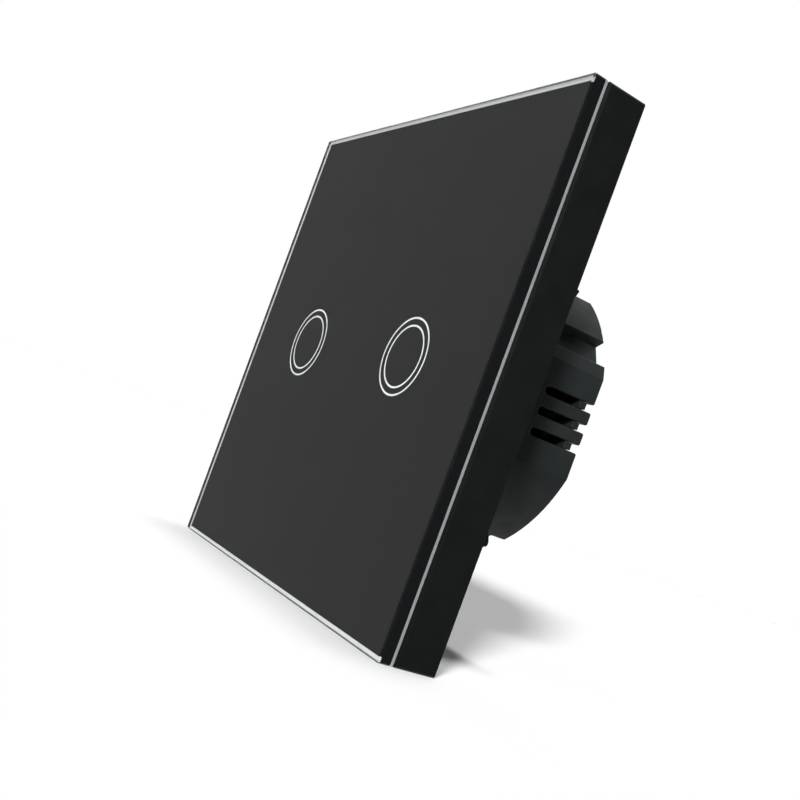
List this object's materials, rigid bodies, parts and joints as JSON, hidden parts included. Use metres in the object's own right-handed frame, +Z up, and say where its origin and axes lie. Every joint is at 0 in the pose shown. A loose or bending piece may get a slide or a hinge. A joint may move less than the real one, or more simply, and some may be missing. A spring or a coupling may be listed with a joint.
{
  "type": "touch light switch",
  "caption": "Square black glass touch light switch with ringed touch points, a pull-off glass panel and a round module for a wall box.",
  "frame": {"origin": "centre of the wall-screw pattern, in the wall plane behind the frame", "axes": "+X right as seen from the room, +Y into the wall, +Z up"},
  "size_m": [0.08, 0.032, 0.08],
  "materials": {
    "panel_glass": "clear float glass, polished bevel",
    "back_ink": "black ceramic ink printed on the back of the glass",
    "mark_silver": "silver ring print",
    "trim_silver": "satin silver border",
    "tape": "black foam tape",
    "frame_plastic": "fine-grained black flame-retardant plastic",
    "strap_steel": "zinc-plated sheet steel",
    "housing_plastic": "satin black flame-retardant plastic",
    "cover_plastic": "satin black plastic",
    "screw_steel": "zinc-plated steel",
    "guide_clear": "frosted clear plastic",
    "board_laminate": "glass-fibre laminate with green solder mask",
    "copper_foil": "copper foil",
    "lamp_plastic": "clear lamp moulding",
    "chip_plastic": "black moulding compound",
    "contact_metal": "bronze and silver alloy",
    "capacitor_sleeve": "shrunk sleeve over aluminium",
    "film_plastic": "yellow moulded case",
    "fuse_plastic": "brown moulded case",
    "ferrite": "sintered ferrite",
    "coil_copper": "enamelled copper wire",
    "varistor_coat": "blue epoxy coat",
    "terminal_plastic": "green flame-retardant plastic",
    "terminal_brass": "plain brass",
    "relay_plastic": "dark blue relay case",
    "relay_iron": "soft iron, nickel plated"
  },
  "bodies": {
    "base": {"mounting_strap": "strap_steel", "module_housing": "housing_plastic", "back_cover": "cover_plastic", "back_cover_screws": "screw_steel", "front_cover": "cover_plastic", "front_screws": "screw_steel", "light_guide_left": "guide_clear", "light_guide_right": "guide_clear", "touch_board": "board_laminate", "power_board": "board_laminate", "touch_electrode_left": "copper_foil", "touch_electrode_right": "copper_foil", "indicator_lamp_left": "lamp_plastic", "indicator_lamp_right": "lamp_plastic", "touch_controller": "chip_plastic", "header_body": "chip_plastic", "header_socket": "chip_plastic", "header_pins": "contact_metal", "smoothing_capacitor": "capacitor_sleeve", "film_capacitor": "film_plastic", "fuse": "fuse_plastic", "bridge_rectifier": "chip_plastic", "choke_core": "ferrite", "choke_winding": "coil_copper", "varistor": "varistor_coat", "terminal_block": "terminal_plastic", "terminal_tabs": "terminal_brass", "relay_1_case": "relay_plastic", "relay_1_base": "relay_plastic", "relay_1_yoke": "relay_iron", "relay_1_coil": "coil_copper", "relay_1_fixed_contact": "contact_metal", "relay_2_case": "relay_plastic", "relay_2_base": "relay_plastic", "relay_2_yoke": "relay_iron", "relay_2_coil": "coil_copper", "relay_2_fixed_contact": "contact_metal"},
    "panel": {"glass_panel": "panel_glass", "back_print": "back_ink", "touch_marks": "mark_silver", "silver_trim": "trim_silver", "panel_adhesive": "tape", "panel_frame": "frame_plastic"},
    "relay_1_lever": {"relay_1_armature": "relay_iron", "relay_1_contact_spring": "contact_metal"},
    "relay_2_lever": {"relay_2_armature": "relay_iron", "relay_2_contact_spring": "contact_metal"},
    "terminal_screw_1_body": {"terminal_screw_1": "screw_steel"},
    "terminal_cage_1_body": {"terminal_cage_1": "terminal_brass"},
    "terminal_screw_2_body": {"terminal_screw_2": "screw_steel"},
    "terminal_cage_2_body": {"terminal_cage_2": "terminal_brass"},
    "terminal_screw_3_body": {"terminal_screw_3": "screw_steel"},
    "terminal_cage_3_body": {"terminal_cage_3": "terminal_brass"}
  },
  "joints": [
    {"name": "panel_release", "type": "slide", "parent": "base", "child": "panel", "axis": [0, -1, 0], "range_m": [0, 0.015]},
    {"name": "relay_1_switching", "type": "hinge", "parent": "base", "child": "relay_1_lever", "pos_m": [-0.0029, 0.0164, -0.0086], "axis": [1, 0, 0], "range_deg": [0, 2.8], "stiffness_Nm_per_rad": 0.001, "springref_deg": -2.86},
    {"name": "relay_2_switching", "type": "hinge", "parent": "base", "child": "relay_2_lever", "pos_m": [0.0051, 0.0164, -0.0086], "axis": [1, 0, 0], "range_deg": [0, 2.8], "stiffness_Nm_per_rad": 0.001, "springref_deg": -2.86},
    {"name": "terminal_1_turn", "type": "hinge", "parent": "base", "child": "terminal_screw_1_body", "pos_m": [-0.0135, 0.018, -0.0086], "axis": [0, -1, 0], "range_deg": [0, 1440]},
    {"name": "terminal_1_clamp", "type": "slide", "parent": "base", "child": "terminal_cage_1_body", "axis": [0, 1, 0], "range_m": [0, 0.002]},
    {"name": "terminal_2_turn", "type": "hinge", "parent": "base", "child": "terminal_screw_2_body", "pos_m": [-0.0135, 0.018, 0], "axis": [0, -1, 0], "range_deg": [0, 1440]},
    {"name": "terminal_2_clamp", "type": "slide", "parent": "base", "child": "terminal_cage_2_body", "axis": [0, 1, 0], "range_m": [0, 0.002]},
    {"name": "terminal_3_turn", "type": "hinge", "parent": "base", "child": "terminal_screw_3_body", "pos_m": [-0.0135, 0.018, 0.0086], "axis": [0, -1, 0], "range_deg": [0, 1440]},
    {"name": "terminal_3_clamp", "type": "slide", "parent": "base", "child": "terminal_cage_3_body", "axis": [0, 1, 0], "range_m": [0, 0.002]}
  ],
  "couplings": [
    {"joint": "terminal_1_turn", "follows": "terminal_1_clamp", "rad_per_m": 12566},
    {"joint": "terminal_2_turn", "follows": "terminal_2_clamp", "rad_per_m": 12566},
    {"joint": "terminal_3_turn", "follows": "terminal_3_clamp", "rad_per_m": 12566}
  ]
}
